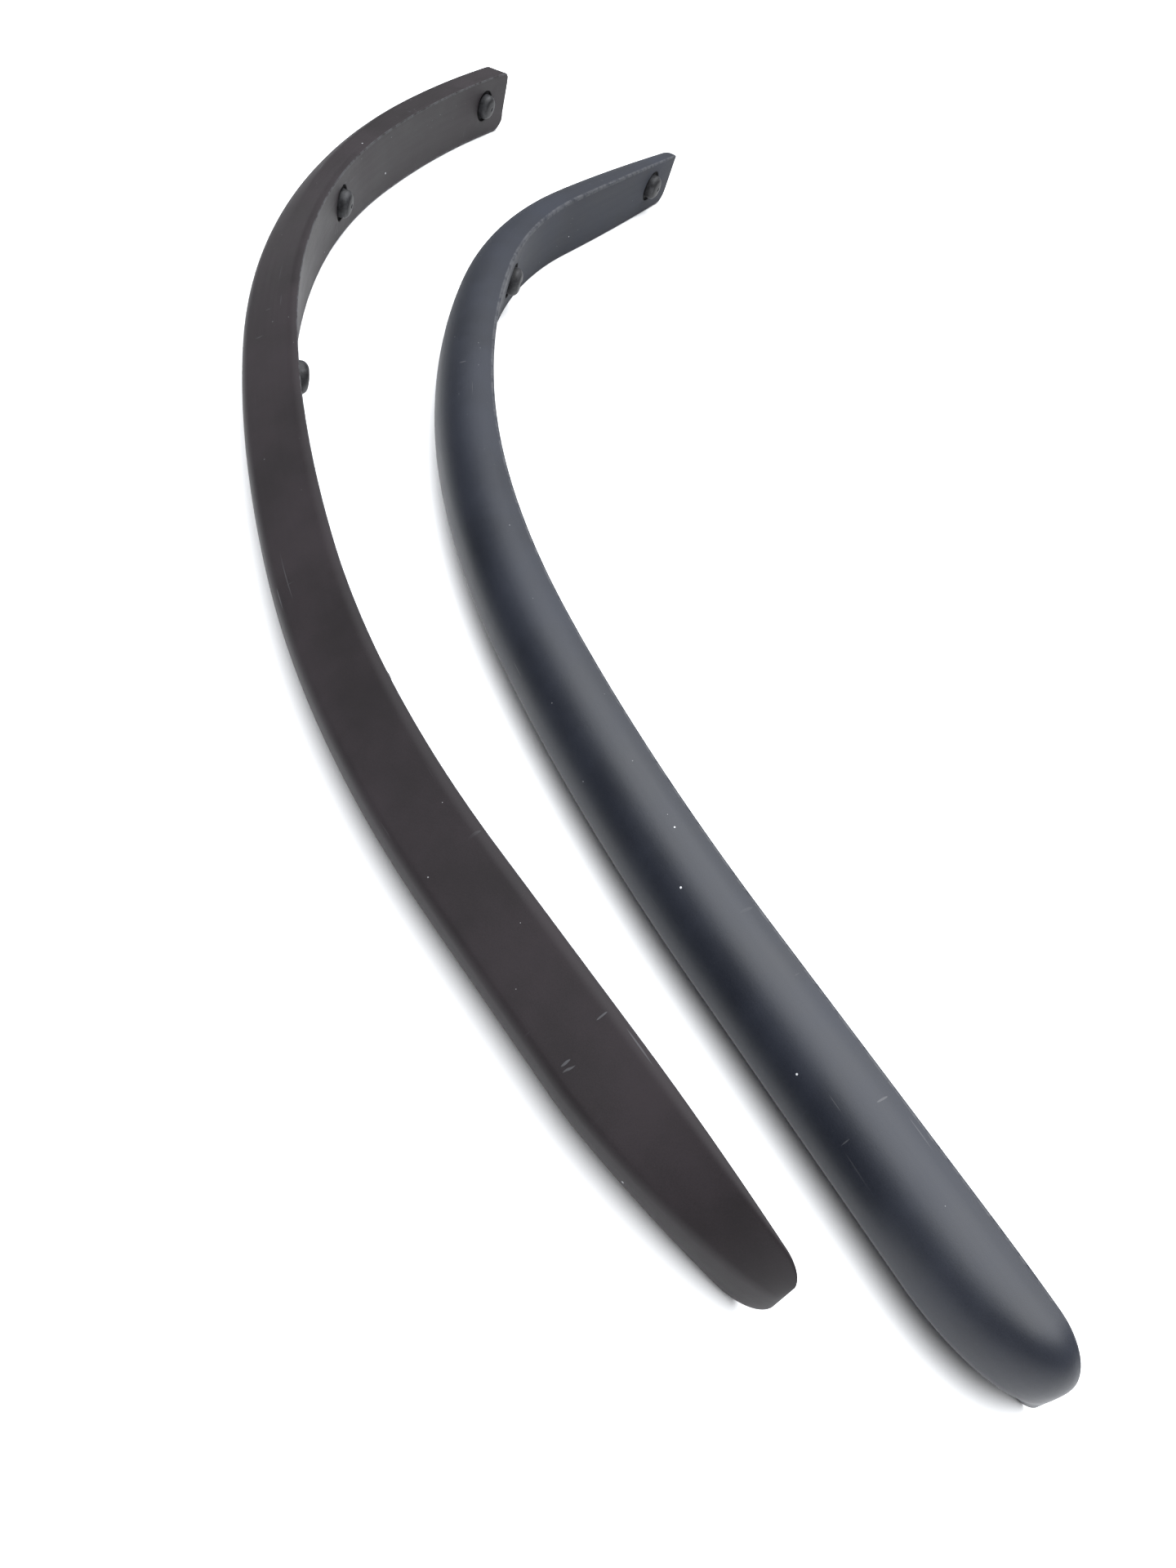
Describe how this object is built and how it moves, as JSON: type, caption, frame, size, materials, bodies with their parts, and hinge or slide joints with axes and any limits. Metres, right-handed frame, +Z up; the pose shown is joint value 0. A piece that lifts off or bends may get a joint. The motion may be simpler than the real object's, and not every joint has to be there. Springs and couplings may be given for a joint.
{
  "type": "pair of edge guards",
  "caption": "Pair of J-shaped moulded rubber edge guards with plug-in studs along the flat inner face, standing on their long edges.",
  "frame": {"origin": "centre of the pair's bounding box, on the ground plane", "axes": "+Z up; +Y along the straight runs from the rounded noses; +X towards the concave side that the tips bend to"},
  "size_m": [0.5074, 0.851, 0.04],
  "materials": {
    "moulded_rubber": "satin, fine grain",
    "stud_rubber": "satin",
    "band_steel": "plain, sealed inside"
  },
  "bodies": {
    "left_guard": {"left_strip": "moulded_rubber", "left_stiffening_band": "band_steel", "left_stud_1": "stud_rubber", "left_stud_2": "stud_rubber", "left_stud_3": "stud_rubber", "left_stud_4": "stud_rubber"},
    "right_guard": {"right_strip": "moulded_rubber", "right_stiffening_band": "band_steel", "right_stud_1": "stud_rubber", "right_stud_2": "stud_rubber", "right_stud_3": "stud_rubber", "right_stud_4": "stud_rubber"}
  },
  "joints": [
    {"name": "right_guard_lift", "type": "slide", "parent": "left_guard", "child": "right_guard", "axis": [0, 0, 1], "range_m": [0, 0.15]}
  ]
}
